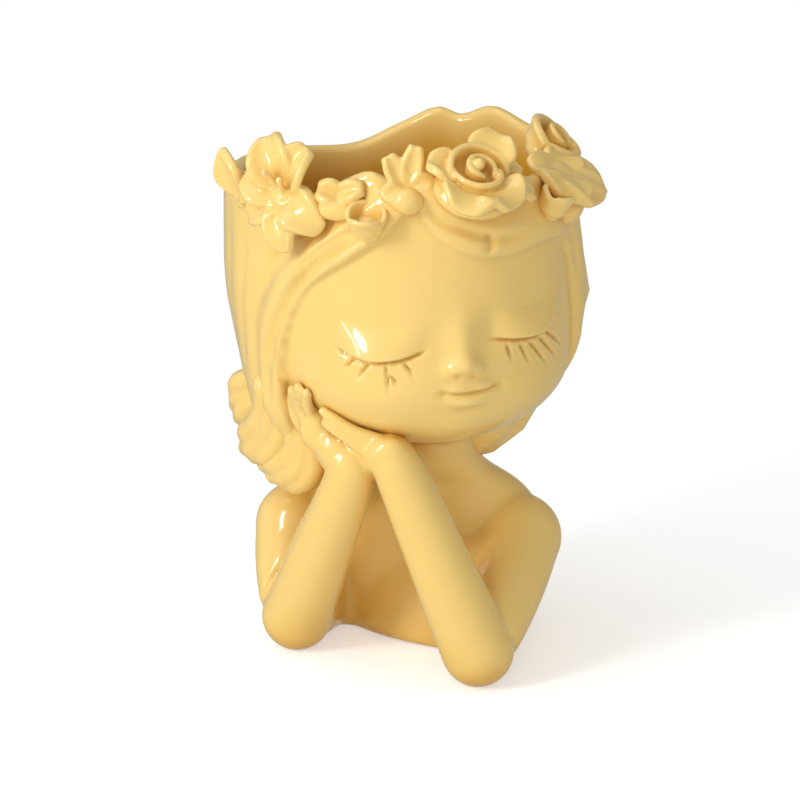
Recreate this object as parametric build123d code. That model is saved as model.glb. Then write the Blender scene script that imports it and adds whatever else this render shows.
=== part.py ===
"""Head planter: a doll's head that is a pot, with a crown of flowers, on a bust that leans on its two arms.

The pot is stuck up from clay castings and hand-made flowers. Two castings make the vessel, the head and the bust.
The arms, the locks of hair and the flowers, buds and leaves are luted on with slip, and a rubber stopper closes
the drain. Millimetres, +Z up, the shoulders face -Y, and +X is the figure's left.
A bearing is an angle round a vertical axis, from straight ahead (-Y) towards +X.
A level is a height above the widest part of the head.
"""

from build123d import *
import math
import os

# Walls and joints
wall = 5.0                 # clay wall of both castings
slip_gap = 0.2             # film of slip between a luted piece and what carries it

# Head: the hair is one egg-shaped turned form, and the face a second one that stands out of its front
head_height = 135.0        # height of the head's widest level above the floor
hair_axis = (-2.0, 9.0)
hair_radius = 58.5
hair_depth = 62.0          # from the widest level down to the nape
hair_rise = 200.0          # half-height of the long ellipse that the crown's wall follows
face_forward = 18.6        # from the hair's axis to the face's axis
face_bearing = 36.0
face_radius = 50.0
face_drop = 25.6           # from the head's widest level down to the face's
face_depth = 31.0
face_rise = 170.0

# Features: bearings round the face's axis, heights from its widest level, half width, height and depth
look_bearing = 29.0        # the way that the nose points
eye_spread = 31.0          # bearing from the nose to the middle of each eye
eye_lift = 13.5
lid_size = (15.5, 7.5, 4.0)
nose_lift = 7.5
nose_size = (4.4, 4.2, 4.6)
mouth_drop = 3.6
lip_size = (7.2, 1.9, 2.6)

# Rim: across the head, and the level of the wavy edge there
rim_wave = [(-75, 35), (-48, 31), (-30, 30), (-14, 37), (-1, 43), (9, 41), (22, 45), (40, 40), (75, 37)]
rim_clear = 60.0           # how far above the rim the pot's mouth stays free of flowers

# Bust: height, centre x, centre y, half width and half depth of each section, up to the root of the neck
torso_sections = [
    (0.0, -1.0, 28.0, 43.0, 19.5),
    (18.0, -1.0, 26.5, 46.5, 21.5),
    (38.0, 0.0, 22.0, 47.0, 23.0),
    (52.0, 3.0, 18.0, 39.0, 20.5),
    (62.0, 8.0, 11.0, 23.0, 17.5),
]
neck_axis = (9.0, 5.0)
neck_radius = 17.5
bore_axis = (9.0, 8.0)     # the passage from the pot down into the bust
neck_bore = 9.0
base_thickness = 6.0
foot_recess = 2.0          # hollow under the base, inside the foot ring
foot_ring = 6.0            # width of the foot ring
right_shoulder = (-39.0, 12.0, 37.0)
left_shoulder = (39.5, 11.0, 38.0)
shoulder_radius = 15.0
upper_arm_radius = 12.5
# Flesh between the chest and each elbow: the middle, width and height of its root on the chest
right_web = ((-31.0, 22.0, 21.0), 20.0, 54.0)
left_web = ((24.5, 22.0, 21.0), 33.0, 56.0)
web_round = 9.0            # corner radius of that root

# Drain and its stopper
drain_radius = 5.0
drain_at = (0.0, 25.0)
stopper_gap = 0.05         # running clearance of the stopper in the drain
stopper_flange = 8.5
stopper_flange_height = 1.6
stopper_head = 3.0         # how far the plug stands up inside the pot
stopper_lead = 1.0         # chamfer that leads the plug into the drain

# Arms: each stands on its elbow's ball and bends at the wrist, and the fingers lie along the cheek and the jaw
right_elbow = (-34.0, -12.0)
left_elbow = (34.0, -34.0)
right_wrist = (-8.0, -40.5, 74.0)
left_wrist = (8.0, -44.5, 79.0)
elbow_radius = 12.4
elbow_flat = 0.6           # depth of the flat under each elbow
forearm_radius = 10.8
wrist_radius = 7.2
palm_width = 8.5
palm_thickness = 4.6
finger_radius = 2.5
# Each finger from root to tip: bearing round the face, height from its widest level, and lift off the skin
right_fingers = [
    [(-43.2, -23.5, 7.5), (-45.0, -18.8, 6.5), (-47.4, -13.3, 4.0), (-44.6, -6.9, 2.5)],
    [(-36.1, -21.3, 6.5), (-42.0, -18.4, 5.0), (-43.2, -12.6, 3.2), (-40.6, -5.1, 2.2)],
    [(-31.1, -19.9, 6.0), (-36.8, -16.7, 4.2), (-37.5, -11.6, 3.0), (-35.9, -6.3, 2.2)],
]
left_fingers = [
    [(-5.7, -19.5, 5.0), (-15.9, -17.3, 4.5), (-24.2, -14.4, 3.6), (-30.9, -11.9, 2.6)],
    [(-9.7, -23.9, 7.5), (-16.3, -21.5, 6.5), (-21.9, -18.1, 6.0), (-28.7, -16.0, 5.0)],
]
ball_proud = 1.03          # a ball end is this much wider than the strand that it closes

# Hair that falls from the crown: level, inset from the hair's radius, half width and half thickness of each section
fall_sections = [
    (28.0, 5.0, 9.5, 2.8),
    (19.0, 2.5, 13.5, 4.0),
    (2.0, 3.5, 15.0, 5.0),
    (-22.0, 6.0, 15.2, 6.0),
    (-44.0, 11.5, 13.5, 6.5),
    (-60.0, 17.0, 9.5, 5.0),
    (-68.0, 23.0, 5.0, 3.0),
]
fall_billow = [0.0, 0.1, 0.8, 1.0, 0.3, 0.0, 0.0]    # how much of a lock's swell each section takes
fall_bearings = [-54, -78, -102, -126, -150, -174, 162, 138, 114, 91]
fall_lengths = [0.78, 0.80, 0.82, 0.95, 1.0, 0.96, 1.0, 0.94, 0.98, 0.9]    # share of the full fall
fall_swells = [0.0, 0.0, 0.0, 0.5, 1.0, 1.0, 1.0, 2.5, 5.5, 2.5]    # how far each lock billows out

# Hair that is combed over the brow: bearing, level, half width and half thickness
fringe_right = [(12, 34, 3.0, 3.5), (3, 24, 6.0, 4.0), (-10, 13, 8.0, 4.5), (-24, 0, 8.5, 5.0), (-33, -18, 8.0, 5.5),
                (-37, -36, 6.0, 5.0), (-38, -45, 3.5, 3.5)]
fringe_left = [(17, 33, 3.0, 3.0), (27, 25, 5.5, 4.0), (42, 20.5, 7.0, 4.5), (60, 21, 7.0, 4.5), (74, 13, 6.0, 4.0),
               (80, -6, 4.5, 3.5), (81, -24, 2.5, 2.5)]

# Curls at the nape, each of three strands: bearing, level and inset along a strand
curls = {
    "curl_back": [
        [(-82, -42.0, 14.0), (-87, -45.0, 6.5), (-92, -48.2, 1.5), (-94, -51.8, -0.5)],
        [(-82, -46.0, 15.0), (-87, -49.8, 7.0), (-92, -52.9, 1.8), (-94, -55.8, -0.5)],
        [(-80, -49.0, 15.0), (-85, -53.6, 8.0), (-89, -56.6, 4.0), (-92, -59.5, 1.5)],
    ],
    "curl_side": [
        [(-48, -37.0, 6.8), (-52, -45.1, 8.5), (-58, -52.5, 7.9), (-66, -57.6, 6.5), (-72, -59.8, 5.4)],
        [(-45, -38.3, 8.4), (-48, -47.9, 9.8), (-55, -56.2, 9.9), (-64, -62.5, 7.9), (-70, -64.3, 5.6)],
        [(-42, -39.8, 10.4), (-44, -49.2, 12.2), (-50, -57.5, 12.2), (-58, -63.3, 10.4), (-66, -66.2, 8.2)],
    ],
    "curl_front": [
        [(-38, -50.0, 13.0), (-40, -57.7, 14.6), (-46, -63.0, 14.4), (-54, -66.6, 13.2), (-62, -68.6, 11.0)],
        [(-34, -53.2, 14.7), (-36, -60.8, 16.1), (-42, -66.4, 16.0), (-50, -69.9, 15.2), (-58, -71.7, 12.9)],
        [(-30, -55.7, 16.5), (-31, -62.8, 17.7), (-37, -68.4, 18.4), (-45, -71.8, 17.8), (-53, -73.2, 16.2)],
    ],
}
curl_radius = 5.0
curl_tip_radius = 3.4

# Flowers: bearing, level, lift and tilt of the middle, then the radius and half depth that the flower keeps within
flower_places = {
    "open_flower": (-25, 33, 3.0, 28, 21.0, 11.0),
    "rose": (33, 41, 1.0, 42, 20.0, 12.0),
    "broad_blossom": (70, 33, 2.0, 38, 16.0, 8.5),
    "curled_blossom": (84, 45, -3.0, 62, 11.5, 8.0),
    "cup_bud": (3, 26, 4.0, 40, 7.5, 8.0),
    "small_cup": (53, 27, 3.0, 30, 6.5, 6.5),
    "leaf_bud": (14, 43, -0.5, 62, 8.0, 12.0),
    "outer_leaf": (-60, 32, 1.5, 20, 15.0, 5.0),
    "rolled_leaf": (-5, 33, 2.0, 25, 9.0, 5.0),
}
petal_thickness = 3.2


def bearing(angle):
    """Level unit vector at a bearing."""
    turn = math.radians(angle)
    return Vector(math.sin(turn), -math.cos(turn), 0)


class Egg:
    """Turned form with its point down: an ellipse below the widest level and a longer one above."""

    def __init__(self, axis, radius, widest, depth, rise):
        self.axis = axis
        self.radius = radius
        self.widest = widest
        self.depth = depth
        self.rise = rise

    def grown(self, grow):
        """The same form grown or shrunk all round."""
        return Egg(self.axis, self.radius + grow, self.widest, self.depth + grow, self.rise)

    def solid(self, grow, top):
        """The form up to a height, grown or shrunk all round."""
        grown = self.grown(grow)
        turns = [math.radians(22.5 * step) for step in range(5)]
        points = [(grown.radius * math.sin(turn), grown.widest - grown.depth * math.cos(turn)) for turn in turns]
        for height in (0.5 * (self.widest + top), top):
            points.append((grown.reach(height), height))
        lean = (points[-1][0] - points[-2][0], points[-1][1] - points[-2][1])
        side = Spline(*points, tangents=[(1, 0), lean])
        closing = Polyline(points[-1], (0, top), points[0])
        outline = Plane.XZ * make_face([side, closing])
        return Pos(*self.axis, 0) * revolve(outline, Axis.Z)

    def span(self, height):
        """Half-height of the ellipse that holds at a height."""
        return self.rise if height > self.widest else self.depth

    def reach(self, height):
        """Radius at a height."""
        share = (height - self.widest) / self.span(height)
        return self.radius * math.sqrt(max(0.0, 1 - share ** 2))

    def outward(self, angle, height):
        """Direction square to the surface."""
        flat = bearing(angle) * (self.reach(height) / self.radius ** 2)
        upright = Vector(0, 0, (height - self.widest) / self.span(height) ** 2)
        return (flat + upright).normalized()

    def point(self, angle, height):
        """Point on the surface."""
        return Vector(*self.axis, height) + bearing(angle) * self.reach(height)


face_offset = bearing(face_bearing) * face_forward
face_axis = (hair_axis[0] + face_offset.X, hair_axis[1] + face_offset.Y)
hair = Egg(hair_axis, hair_radius, head_height, hair_depth, hair_rise)
face = Egg(face_axis, face_radius, head_height - face_drop, face_depth, face_rise)
nape = head_height - hair_depth
rim_top = head_height + max(level for _, level in rim_wave)


def head_form(grow, top):
    """The two eggs joined, grown or shrunk all round."""
    return hair.solid(grow, top) + face.solid(grow, top)


def above_rim(lift):
    """Everything over the wavy rim, raised by lift."""
    edge = Spline(*[(across, head_height + level + lift) for across, level in rim_wave])
    start = edge @ 0
    end = edge @ 1
    sky = rim_top + 2 * rim_clear
    frame = Polyline(end, (end.X, sky), (start.X, sky), start)
    return extrude(Plane.XZ * make_face([edge, frame]), amount=3 * hair_radius, both=True)


def head_point(angle, level, lift=0.0):
    """Point on the joined eggs at a bearing from the hair's axis, lifted straight out."""
    height = head_height + level
    turn = math.radians(angle - face_bearing)
    aside = face_forward * math.sin(turn)
    chord = face.reach(height) ** 2 - aside ** 2
    over_face = face_forward * math.cos(turn) + math.sqrt(chord) if chord > 0 else 0.0
    return Vector(*hair_axis, height) + bearing(angle) * (max(hair.reach(height), over_face) + lift)


def fall_point(angle, level, inset):
    """Point where hair hangs, at a distance inside the hair's radius."""
    return Vector(*hair_axis, head_height + level) + bearing(angle) * (hair_radius - inset)


def joined(shape, others):
    """Shapes fused one after another."""
    for other in others:
        shape = shape + other
    return shape


def oval_on(plane, half_x, half_y, half_z):
    """Ellipsoid on a plane, with its half sizes along the plane's own directions."""
    return plane * scale(Sphere(1), by=(half_x, half_y, half_z))


def face_oval(angle, lift, half_sizes, sink):
    """Oval feature on the face, of half width, height and depth, with its middle sunk below the skin."""
    half_width, half_height, half_depth = half_sizes
    outward = face.outward(angle, face.widest + lift)
    middle = face.point(angle, face.widest + lift) - outward * sink
    skin = Plane(middle, x_dir=bearing(angle + 90), z_dir=outward)
    return oval_on(skin, half_width, half_height, half_depth)


def strand(places, outward, half_widths, half_thicknesses, grow):
    """Smooth strand with oval sections, broad across and thin along its outward direction."""
    sections = []
    for index, place in enumerate(places):
        before = places[max(index - 1, 0)]
        after = places[min(index + 1, len(places) - 1)]
        along = (after - before).normalized()
        across = along.cross(outward[index]).normalized()
        section = Ellipse(half_widths[index] + grow, half_thicknesses[index] + grow)
        sections.append(Plane(origin=place, x_dir=across, z_dir=along) * section)
    return loft(sections)


def round_strand(line, grow):
    """Round strand through a line of places and radii, with ball ends."""
    places = [Vector(*place) for place, _ in line]
    radii = [radius for _, radius in line]
    tube = strand(places, [Vector(0, -1, 0.2)] * len(line), radii, radii, grow)
    return joined(tube, [Pos(*places[end]) * Sphere(ball_proud * radii[end] + grow) for end in (0, -1)])


def falling_lock(angle, length_share, swell, grow):
    """Lock that hangs from the crown to the nape, and billows out by swell."""
    top = fall_sections[0][0]
    places = []
    for (level, inset, _, _), billow in zip(fall_sections, fall_billow):
        places.append(fall_point(angle, top - length_share * (top - level), inset - swell * billow))
    widths = [width for _, _, width, _ in fall_sections]
    thicknesses = [thickness for _, _, _, thickness in fall_sections]
    return strand(places, [bearing(angle)] * len(places), widths, thicknesses, grow)


def combed_lock(line, grow):
    """Lock that is combed across the head."""
    places = [head_point(angle, level) for angle, level, _, _ in line]
    outward = [bearing(angle) for angle, _, _, _ in line]
    return strand(places, outward, [width for _, _, width, _ in line], [thickness for _, _, _, thickness in line], grow)


def curl(lines, grow):
    """Curl of several strands at the nape."""
    strands = []
    for line in lines:
        radii = [curl_radius] * (len(line) - 1) + [curl_tip_radius]
        strands.append(round_strand([(fall_point(*place), radius) for place, radius in zip(line, radii)], grow))
    return joined(strands[0], strands[1:])


def elbow_middle(elbow):
    """Middle of the ball that an arm stands on."""
    return Vector(*elbow, elbow_radius - elbow_flat)


def arm(elbow, wrist, fingers, grow):
    """Forearm from its elbow on the floor to the wrist, and the hand on the face."""
    start = elbow_middle(elbow)
    wrist = Vector(*wrist)
    swell = start + (wrist - start) * 0.45
    lines = []
    for finger in fingers:
        lines.append([face.grown(lift).point(angle, face.widest + rise) for angle, rise, lift in finger])
    knuckles = sum((line[0] for line in lines), Vector()) / len(lines)
    heel = wrist + (knuckles - wrist) * 0.5
    forearm = [(start, elbow_radius), (swell, forearm_radius), (wrist, wrist_radius), (heel, palm_thickness)]
    angle, rise, _ = fingers[0][0]
    palm_plane = Plane(heel, x_dir=knuckles - wrist, z_dir=face.outward(angle, face.widest + rise))
    palm_length = 0.75 * (knuckles - wrist).length
    details = [oval_on(palm_plane, palm_length + grow, palm_width + grow, palm_thickness + grow)]
    for line in lines:
        radii = [finger_radius] * (len(line) - 1) + [0.85 * finger_radius]
        details.append(round_strand(list(zip(line, radii)), grow))
    return split(joined(round_strand(forearm, grow), details), Plane.XY, keep=Keep.TOP)


def petal(length, half_width, dish, rise):
    """Dished petal from the origin along +Y, curving up by rise at its tip."""
    sections = []
    for share in (0.06, 0.32, 0.6, 0.84, 1.0):
        width = half_width * math.sin(math.pi * (0.12 + 0.78 * share)) ** 0.7
        edge = dish * width / half_width
        tangent = Vector(0, length, 2 * rise * share).normalized()
        middle = Vector(0, length * share, rise * share ** 2)
        under = ThreePointArc((-width, edge), (0, -petal_thickness / 2), (width, edge))
        over = ThreePointArc((width, edge), (0, petal_thickness / 2), (-width, edge))
        section_plane = Plane(origin=middle, x_dir=(1, 0, 0), z_dir=-tangent)
        sections.append(section_plane * make_face([under, over]))
    return loft(sections)


def petals(turns, length, half_width, dish, rise):
    """Petals at a list of turns round a small button."""
    one = petal(length, half_width, dish, rise)
    return joined(Sphere(1.4 * petal_thickness), [Rot(0, 0, turn) * one for turn in turns])


def wrap(radius, height, start, arc):
    """Part of a cup's wall, as one petal wrapped round a rose's heart."""
    outer = ThreePointArc((0.5 * radius, 0), (0.92 * radius, 0.45 * height), (radius, height))
    lip = Line((radius, height), (radius - 0.7 * petal_thickness, height))
    inner = ThreePointArc(lip @ 1, (0.88 * radius - petal_thickness, 0.45 * height), (0.4 * radius, 0))
    foot = Line(inner @ 1, outer @ 0)
    return Rot(0, 0, start) * revolve(Plane.XZ * make_face([outer, lip, inner, foot]), Axis.Z, revolution_arc=arc)


def rose(radius, height):
    """Rose of wrapped petals, each ring wider and lower, on a round bed."""
    walls = [wrap(0.3 * radius, height, 0, 320)]
    for ring, (share, low, count) in enumerate([(0.53, 0.9, 2), (0.76, 0.72, 3), (1.0, 0.5, 3)]):
        step = 360 / count
        walls += [wrap(share * radius, low * height, number * step + 35 * ring, step - 14) for number in range(count)]
    return joined(oval_on(Plane.XY, 0.75 * radius, 0.75 * radius, 0.4 * height), walls)


def cup(radius, depth):
    """Bud that opens as a cup."""
    lip = 0.9 * radius - 0.6 * petal_thickness
    outer = Spline((0, -depth), (0.8 * radius, -0.5 * depth), (radius, 0.2 * depth), (0.9 * radius, depth))
    inner = Spline((lip, depth), (0.6 * lip, 0.1 * depth), (0, -0.2 * depth))
    edge = Line(outer @ 1, inner @ 0)
    middle = Line(inner @ 1, outer @ 0)
    return revolve(Plane.XZ * make_face([outer, edge, inner, middle]), Axis.Z)


def flower_plane(name):
    """Plane of a flower on the head: it faces out at a bearing, and tilts up from level."""
    angle, level, lift, tilt, _, _ = flower_places[name]
    facing = bearing(angle) * math.cos(math.radians(tilt)) + Vector(0, 0, math.sin(math.radians(tilt)))
    return Plane(origin=head_point(angle, level, lift), x_dir=bearing(angle + 90), z_dir=facing)


def flower_room(name, grow):
    """Flat ball that a flower keeps within."""
    *_, radius, half_depth = flower_places[name]
    return oval_on(flower_plane(name), radius + grow, radius + grow, half_depth + grow)


def flower_form(name):
    """The flower itself, in its own plane, with +Y up the head."""
    *_, radius, half_depth = flower_places[name]
    if name == "rose":
        return rose(0.95 * radius, 0.85 * half_depth)
    if name in ("cup_bud", "small_cup"):
        return cup(0.8 * radius, 0.7 * half_depth)
    if name == "leaf_bud":
        return petals([0, 120, 240], radius, 0.7 * radius, 0.3 * radius, 1.1 * half_depth)
    if name == "outer_leaf":
        return petals([35, 80], 1.1 * radius, 0.4 * radius, 0.15 * radius, 0.4 * half_depth)
    if name == "rolled_leaf":
        return petals([20, -100], 1.1 * radius, 0.5 * radius, 0.25 * radius, 0.6 * half_depth)
    if name == "open_flower":
        return petals([20, -22, 78, 132, -128, -76], 1.05 * radius, 0.42 * radius, 0.2 * radius, 0.5 * half_depth)
    return petals([10, 82, 154, 226, 298], 1.05 * radius, 0.5 * radius, 0.2 * radius, 0.5 * half_depth)


class Room:
    """Space that is taken, with its box."""

    def __init__(self, shape):
        self.shape = shape
        self.box = shape.bounding_box(optimal=False)

    def meets(self, box):
        """Whether a box touches this one's."""
        low, high = self.box.min, self.box.max
        apart = [low.X > box.max.X, low.Y > box.max.Y, low.Z > box.max.Z,
                 box.min.X > high.X, box.min.Y > high.Y, box.min.Z > high.Z]
        return not any(apart)


def seat(shape, rooms):
    """A luted piece cut to sit on what carries it: the largest solid that is left."""
    box = shape.bounding_box(optimal=False)
    for room in rooms:
        if room.meets(box):
            shape = shape - room.shape
    return max(shape.solids(), key=lambda solid: solid.volume)


mouth_space = head_form(-wall, rim_top + rim_clear)
head_room = Room(head_form(slip_gap, rim_top + wall) - above_rim(slip_gap) + mouth_space)


def head_shell():
    """The pot: both eggs hollowed, with the lids, nose and lips on the face."""
    features = [face_oval(look_bearing, nose_lift, nose_size, 0.3 * nose_size[2])]
    for side in (-1, 1):
        features.append(face_oval(look_bearing + side * eye_spread, eye_lift, lid_size, 0.5 * lid_size[2]))
    for lip in (0, 1):
        features.append(face_oval(look_bearing, -mouth_drop - lip * 1.6 * lip_size[1], lip_size, 0.3 * lip_size[2]))
    bore = Pos(*bore_axis, nape) * Cylinder(neck_bore, hair_depth)
    return joined(head_form(0, rim_top + wall) - above_rim(0), features) - mouth_space - bore


def torso_section(height, x, y, half_width, half_depth, shrink):
    """Oval section of the chest, shrunk by a wall."""
    return Pos(x, y, height) * Ellipse(half_width - shrink, half_depth - shrink)


def upper_arm(shoulder, elbow, web):
    """Upper arm, and the flesh that joins it to the chest down to the floor."""
    end = elbow_middle(elbow)
    shoulder = Vector(*shoulder)
    outer_bend = (shoulder + end) * 0.5 + Vector(math.copysign(0.2 * upper_arm_radius, elbow[0]), 0, 0)
    thin_end = 0.93 * elbow_radius
    bone = round_strand([(shoulder, shoulder_radius), (outer_bend, upper_arm_radius), (end, thin_end)], 0)
    root, width, height = web
    facing = end - Vector(*root)
    sections = []
    for place, wide, high, corner in [(root, width, height, web_round), (end, *[2 * thin_end] * 2, 0.95 * thin_end)]:
        outline = RectangleRounded(wide, high, corner)
        sections.append(Plane(place, x_dir=Vector(0, 0, 1).cross(facing), z_dir=facing) * outline)
    return bone + loft(sections)


arms = {
    "right_arm": (right_elbow, right_wrist, right_fingers),
    "left_arm": (left_elbow, left_wrist, left_fingers),
}
arm_rooms = {name: Room(arm(*place, slip_gap)) for name, place in arms.items()}


def bust_shell():
    """The chest, neck, shoulders and upper arms, hollow, with a foot ring and a drain."""
    upward = (Align.CENTER, Align.CENTER, Align.MIN)
    neck_root = torso_sections[-1][0]
    sections = [torso_section(*section, 0) for section in torso_sections]
    for height in (0.4 * neck_root + 0.6 * nape, nape + 2 * wall):
        sections.append(Pos(*neck_axis, height) * Circle(neck_radius))
    limbs = [upper_arm(right_shoulder, right_elbow, right_web), upper_arm(left_shoulder, left_elbow, left_web)]
    body = split(joined(loft(sections), limbs), Plane.XY, keep=Keep.TOP)
    hollow = loft([torso_section(max(height, base_thickness), *rest, wall) for height, *rest in torso_sections])
    neck_hole = Pos(*bore_axis, neck_root - wall) * Cylinder(neck_bore, nape, align=upward)
    foot_hollow = extrude(torso_section(*torso_sections[0], foot_ring), amount=foot_recess)
    drain = Pos(*drain_at, 0) * Cylinder(drain_radius, 2 * base_thickness, align=upward)
    for cut in (hollow, neck_hole, foot_hollow, drain):
        body = body - cut
    return seat(body, [head_room, *arm_rooms.values()])


def drain_stopper():
    """Rubber plug with a flange that closes the drain from below."""
    upward = (Align.CENTER, Align.CENTER, Align.MIN)
    flange_top = foot_recess - stopper_gap
    flange = Pos(*drain_at, flange_top - stopper_flange_height) * Cylinder(
        stopper_flange, stopper_flange_height, align=upward
    )
    plug_length = base_thickness - flange_top + stopper_head
    plug = Pos(*drain_at, flange_top) * Cylinder(drain_radius - stopper_gap, plug_length, align=upward)
    return flange + chamfer(plug.edges().group_by(Axis.Z)[-1], stopper_lead)


pieces = {"head_shell": head_shell(), "bust_shell": bust_shell(), "drain_stopper": drain_stopper()}

pieces["left_arm"] = seat(arm(*arms["left_arm"], 0), [head_room])
pieces["right_arm"] = seat(arm(*arms["right_arm"], 0), [head_room, arm_rooms["left_arm"]])

flower_rooms = []
for name in flower_places:
    bloom = flower_plane(name) * flower_form(name) & flower_room(name, 0)
    pieces[name] = seat(bloom, [head_room] + flower_rooms)
    flower_rooms.append(Room(flower_room(name, slip_gap)))

locks = {
    "fringe_right": lambda grow: combed_lock(fringe_right, grow),
    "fringe_left": lambda grow: combed_lock(fringe_left, grow),
}
for number, fall in enumerate(zip(fall_bearings, fall_lengths, fall_swells), start=1):
    locks[f"hair_lock_{number}"] = lambda grow, fall=fall: falling_lock(*fall, grow)
for name, lines in curls.items():
    locks[name] = lambda grow, lines=lines: curl(lines, grow)

taken = [head_room, *arm_rooms.values(), *flower_rooms, Room(pieces["bust_shell"])]
for name, make in locks.items():
    pieces[name] = seat(make(0), taken)
    taken.append(Room(make(slip_gap)))

# The origin is under the middle of the whole planter, on the floor
whole = Compound(list(pieces.values())).bounding_box()
to_origin = Pos(-whole.center().X, -whole.center().Y, -whole.min.Z)
print("origin in the working frame", whole.center().X, whole.center().Y, whole.min.Z)

os.makedirs("parts", exist_ok=True)
for name, piece in pieces.items():
    export_step(to_origin * piece, f"parts/{name}.step")
    print(name, round(piece.volume))
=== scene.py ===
import bpy
import math
import numpy as np
from mathutils import Matrix, Vector


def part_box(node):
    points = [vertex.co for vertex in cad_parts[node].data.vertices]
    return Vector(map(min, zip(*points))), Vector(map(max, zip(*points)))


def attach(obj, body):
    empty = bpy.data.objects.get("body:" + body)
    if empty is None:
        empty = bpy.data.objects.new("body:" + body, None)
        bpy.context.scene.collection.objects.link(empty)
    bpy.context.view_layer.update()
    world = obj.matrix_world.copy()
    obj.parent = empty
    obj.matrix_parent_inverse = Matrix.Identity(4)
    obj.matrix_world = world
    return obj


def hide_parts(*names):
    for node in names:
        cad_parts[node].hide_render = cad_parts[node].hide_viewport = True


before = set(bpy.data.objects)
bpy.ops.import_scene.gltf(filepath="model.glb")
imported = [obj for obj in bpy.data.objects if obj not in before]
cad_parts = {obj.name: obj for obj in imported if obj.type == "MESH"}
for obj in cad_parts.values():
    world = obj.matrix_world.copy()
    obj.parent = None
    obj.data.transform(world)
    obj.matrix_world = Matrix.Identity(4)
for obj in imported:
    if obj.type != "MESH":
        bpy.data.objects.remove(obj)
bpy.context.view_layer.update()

# Pieces are modelled in millimetres round the figure's own middle, then set down in the frame.
millimetre = 0.001
stopperBehind = 0.025      # metres from that middle back to the drain stopper
stopperLow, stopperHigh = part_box("drain_stopper")
figureMiddle = Vector((
    (stopperLow.x + stopperHigh.x) / 2,
    (stopperLow.y + stopperHigh.y) / 2 - stopperBehind,
    0.0,
))


# Small modelling tools

def setMode(mode):
    bpy.ops.object.mode_set(mode=mode)


def deselectAll():
    if bpy.context.object and bpy.context.object.mode != "OBJECT":
        setMode("OBJECT")
    bpy.ops.object.select_all(action="DESELECT")


def pickOnly(*pieces):
    deselectAll()
    for piece in pieces:
        piece.select_set(True)
    bpy.context.view_layer.objects.active = pieces[0]


def addThing(operator, **settings):
    deselectAll()
    operator(**settings)
    return bpy.context.object


def editWhole(piece, operator, **settings):
    pickOnly(piece)
    setMode("EDIT")
    bpy.ops.mesh.select_all(action="SELECT")
    operator(**settings)
    setMode("OBJECT")


def readPoints(piece, kind="co"):
    values = np.empty(len(piece.data.vertices) * 3)
    piece.data.vertices.foreach_get(kind, values)
    return values.reshape(-1, 3)


def writePoints(piece, points):
    piece.data.vertices.foreach_set("co", np.ascontiguousarray(points).ravel())
    piece.data.update()


def keepAbove(piece, lowest):
    points = readPoints(piece)
    points[:, 2] = np.maximum(points[:, 2], lowest)
    writePoints(piece, points)


def addModifier(piece, kind, **settings):
    pickOnly(piece)
    modifier = piece.modifiers.new(kind.title(), kind)
    for setting, value in settings.items():
        setattr(modifier, setting, value)
    bpy.ops.object.modifier_apply(modifier=modifier.name)


def joinPieces(pieces, name):
    pickOnly(*pieces)
    bpy.ops.object.join()
    whole = bpy.context.object
    whole.name = name
    whole.data.name = name
    return whole


def meltTogether(piece, voxel, rounds):
    # one skin over all that was joined, with the creases filled as glaze fills them
    addModifier(piece, "REMESH", mode="VOXEL", voxel_size=voxel, adaptivity=0.0)
    addModifier(piece, "SMOOTH", factor=0.5, iterations=rounds)


def smoothCurve(places, count):
    # smooth line through given places, with any number of columns
    places = np.array(places, float)
    ends = np.vstack([2 * places[0] - places[1], places, 2 * places[-1] - places[-2]])
    spans = len(places) - 1
    steps = np.linspace(0, spans - 1e-9, count)
    span = steps.astype(int)
    t = (steps - span)[:, None]
    p0, p1, p2, p3 = ends[span], ends[span + 1], ends[span + 2], ends[span + 3]
    bend = 2 * p0 - 5 * p1 + 4 * p2 - p3
    return 0.5 * (2 * p1 + (p2 - p0) * t + bend * t ** 2 + (3 * p1 - p0 - 3 * p2 + p3) * t ** 3)


def softStep(values, low, high):
    share = np.clip((values - low) / (high - low), 0, 1)
    return share * share * (3 - 2 * share)


def bell(values, width):
    return np.exp(-(values / width) ** 2)


# Finishes

glazeLook = {
    "body": (0.925, 0.655, 0.215, 1),      # even glaze
    "pooled": (0.680, 0.345, 0.022, 1),    # thick in the creases, and the tone that painted shade deepens toward
    "worn": (0.960, 0.760, 0.370, 1),      # thin over the edges
    "cloud": 0.10,
    "cloudNoise": (28.0, 3.0),      # scale and detail, as in the other noises
    "poolFrom": (0.05, 1.0),
    "poolShare": 0.85,
    "edgeFrom": (-0.05, -1.0),
    "edgeShare": 0.7,
    "paintedShadeReach": 0.030,      # metres within which nearby surfaces deepen the tone: painted shade
    "paintedShadeRays": 8,
    "paintedShadeFrom": (0.80, 0.20),
    "paintedShadeShare": 0.55,
    "roughness": (0.18, 0.28),
    "grainNoise": (420.0, 1.0),
    "swellNoise": (75.0, 2.0),
    "swellBump": (0.05, 0.0008),      # strength, and height in metres
    "coatRoughness": 0.035,
    "coatIor": 1.5,
    "specular": 0.2,
}
rubberLook = {
    "dark": (0.55, 0.52, 0.47, 1),
    "pale": (0.68, 0.65, 0.60, 1),
    "bloomNoise": (300.0, 4.0),
    "bloomBump": (0.15, 0.0003),
    "roughness": 0.62,
}


def feed(tree, node, values):
    # a socket is linked, and a number or colour is set
    for slot, value in values.items():
        if isinstance(value, bpy.types.NodeSocket):
            tree.links.new(value, node.inputs[slot])
        else:
            node.inputs[slot].default_value = value


def addNode(tree, kind, values=None, **settings):
    node = tree.nodes.new("ShaderNode" + kind)
    for setting, value in settings.items():
        setattr(node, setting, value)
    feed(tree, node, values or {})
    return node


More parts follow.
